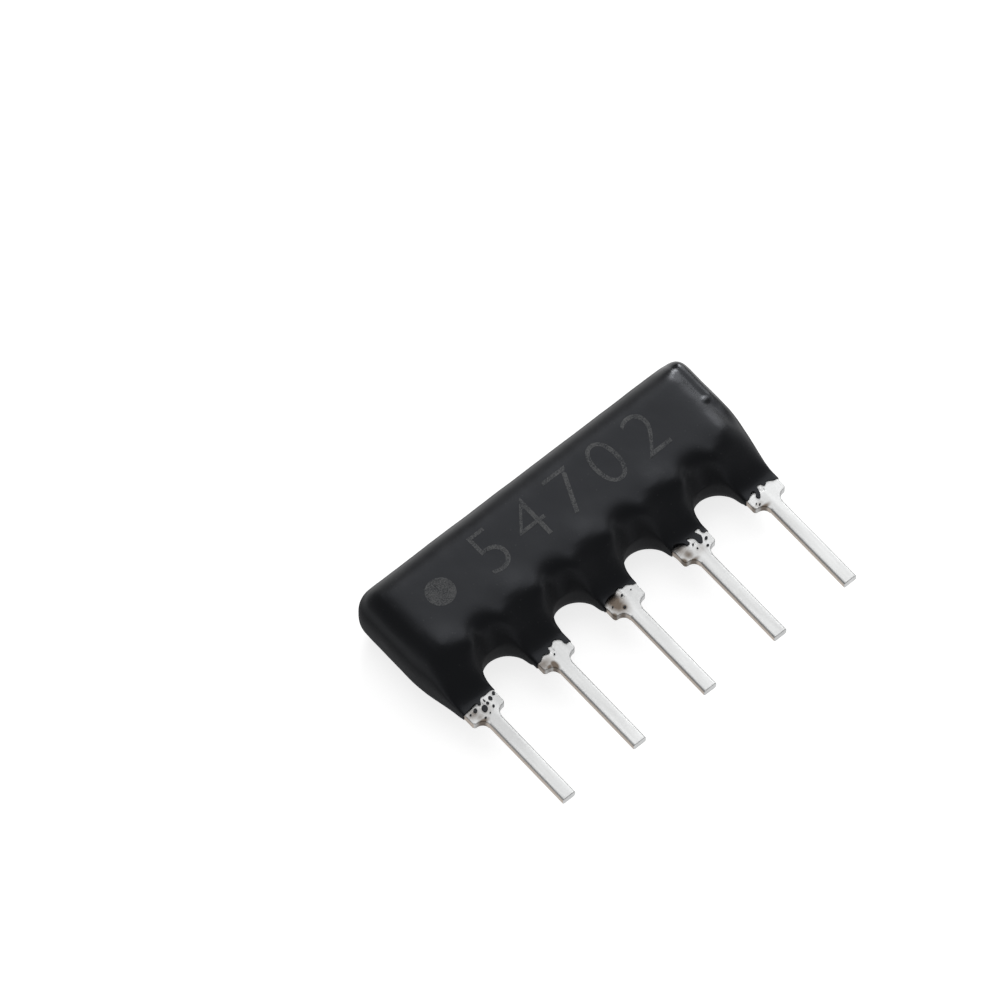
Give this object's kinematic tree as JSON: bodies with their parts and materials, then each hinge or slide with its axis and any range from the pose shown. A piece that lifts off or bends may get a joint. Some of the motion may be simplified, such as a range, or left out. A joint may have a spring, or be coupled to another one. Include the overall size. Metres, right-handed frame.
{
  "type": "resistor network",
  "caption": "Slim dipped single-in-line resistor network: a black coated bar with round arches between flat shouldered leads, holding resistors that share one common terminal.",
  "frame": {"origin": "on the plane that the back of the coat lies on, under the middle of the whole part's length and height", "axes": "+X along the lead row away from lead 1, -Y along the leads to their tips, +Z out of the marked face"},
  "size_m": [0.0118, 0.0082, 0.0022],
  "materials": {
    "dipped_epoxy": "satin dipped epoxy with fine grain",
    "tinned_lead": "satin tin plate",
    "solder": "satin solder",
    "alumina": "matt fired ceramic",
    "conductor_print": "matt fired metal paste",
    "resistor_print": "matt fired resistor paste",
    "overglaze": "glossy fired glass"
  },
  "bodies": {
    "root": {"epoxy_coating": "dipped_epoxy", "ceramic_plate": "alumina", "common_conductor": "conductor_print", "glass_overglaze": "overglaze", "resistor_film_1": "resistor_print", "lead_1": "tinned_lead", "solder_joint_1": "solder", "terminal_pad_2": "conductor_print", "resistor_film_2": "resistor_print", "lead_2": "tinned_lead", "solder_joint_2": "solder", "terminal_pad_3": "conductor_print", "resistor_film_3": "resistor_print", "lead_3": "tinned_lead", "solder_joint_3": "solder", "terminal_pad_4": "conductor_print", "resistor_film_4": "resistor_print", "lead_4": "tinned_lead", "solder_joint_4": "solder", "terminal_pad_5": "conductor_print", "lead_5": "tinned_lead", "solder_joint_5": "solder"}
  },
  "joints": []
}
